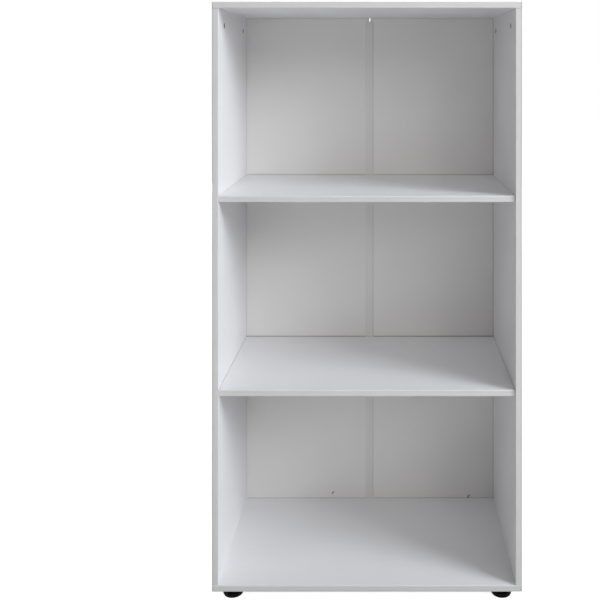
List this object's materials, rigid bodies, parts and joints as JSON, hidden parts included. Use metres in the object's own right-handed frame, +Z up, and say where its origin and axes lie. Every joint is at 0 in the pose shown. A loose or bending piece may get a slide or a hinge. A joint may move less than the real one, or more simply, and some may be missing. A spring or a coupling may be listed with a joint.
{
  "type": "open bookcase",
  "caption": "Tall open bookcase of white coated board with loose shelves, a split inset back and round black screw feet.",
  "frame": {"origin": "on the floor, under the middle of the case", "axes": "+X to the right seen from the front, +Y from the open front to the back, +Z up"},
  "size_m": [0.8, 0.45, 1.55],
  "materials": {
    "coated_chipboard": "satin",
    "abs_edge_band": "satin",
    "coated_hardboard": "matte",
    "pvc_profile": "satin",
    "die_cast_zinc": "satin",
    "zinc_plated_steel": "satin",
    "nickel_plated_steel": "satin",
    "beech": "matte",
    "black_polypropylene": "matte"
  },
  "bodies": {
    "case": {"top_panel": "coated_chipboard", "bottom_panel": "coated_chipboard", "left_side_panel": "coated_chipboard", "right_side_panel": "coated_chipboard", "top_panel_edge_bands": "abs_edge_band", "bottom_panel_edge_bands": "abs_edge_band", "left_side_edge_band": "abs_edge_band", "right_side_edge_band": "abs_edge_band", "back_panel_left": "coated_hardboard", "back_panel_right": "coated_hardboard", "back_joiner_profile": "pvc_profile", "cam_drums": "die_cast_zinc", "cam_bolts": "zinc_plated_steel", "wood_dowels": "beech", "confirmat_screws": "zinc_plated_steel", "lower_shelf_supports": "nickel_plated_steel", "upper_shelf_supports": "nickel_plated_steel", "foot_inserts": "zinc_plated_steel"},
    "lower_shelf": {"lower_shelf": "coated_chipboard", "lower_shelf_edge_band": "abs_edge_band"},
    "upper_shelf": {"upper_shelf": "coated_chipboard", "upper_shelf_edge_band": "abs_edge_band"},
    "front_left_foot": {"front_left_foot": "black_polypropylene", "front_left_foot_stud": "zinc_plated_steel"},
    "front_right_foot": {"front_right_foot": "black_polypropylene", "front_right_foot_stud": "zinc_plated_steel"},
    "rear_left_foot": {"rear_left_foot": "black_polypropylene", "rear_left_foot_stud": "zinc_plated_steel"},
    "rear_right_foot": {"rear_right_foot": "black_polypropylene", "rear_right_foot_stud": "zinc_plated_steel"}
  },
  "joints": [
    {"name": "lower_shelf_slide", "type": "slide", "parent": "case", "child": "lower_shelf", "axis": [0, -1, 0], "range_m": [0, 0.05]},
    {"name": "upper_shelf_slide", "type": "slide", "parent": "case", "child": "upper_shelf", "axis": [0, -1, 0], "range_m": [0, 0.05]},
    {"name": "front_left_foot_level", "type": "slide", "parent": "case", "child": "front_left_foot", "axis": [0, 0, -1], "range_m": [0, 0.008]},
    {"name": "front_right_foot_level", "type": "slide", "parent": "case", "child": "front_right_foot", "axis": [0, 0, -1], "range_m": [0, 0.008]},
    {"name": "rear_left_foot_level", "type": "slide", "parent": "case", "child": "rear_left_foot", "axis": [0, 0, -1], "range_m": [0, 0.008]},
    {"name": "rear_right_foot_level", "type": "slide", "parent": "case", "child": "rear_right_foot", "axis": [0, 0, -1], "range_m": [0, 0.008]}
  ]
}
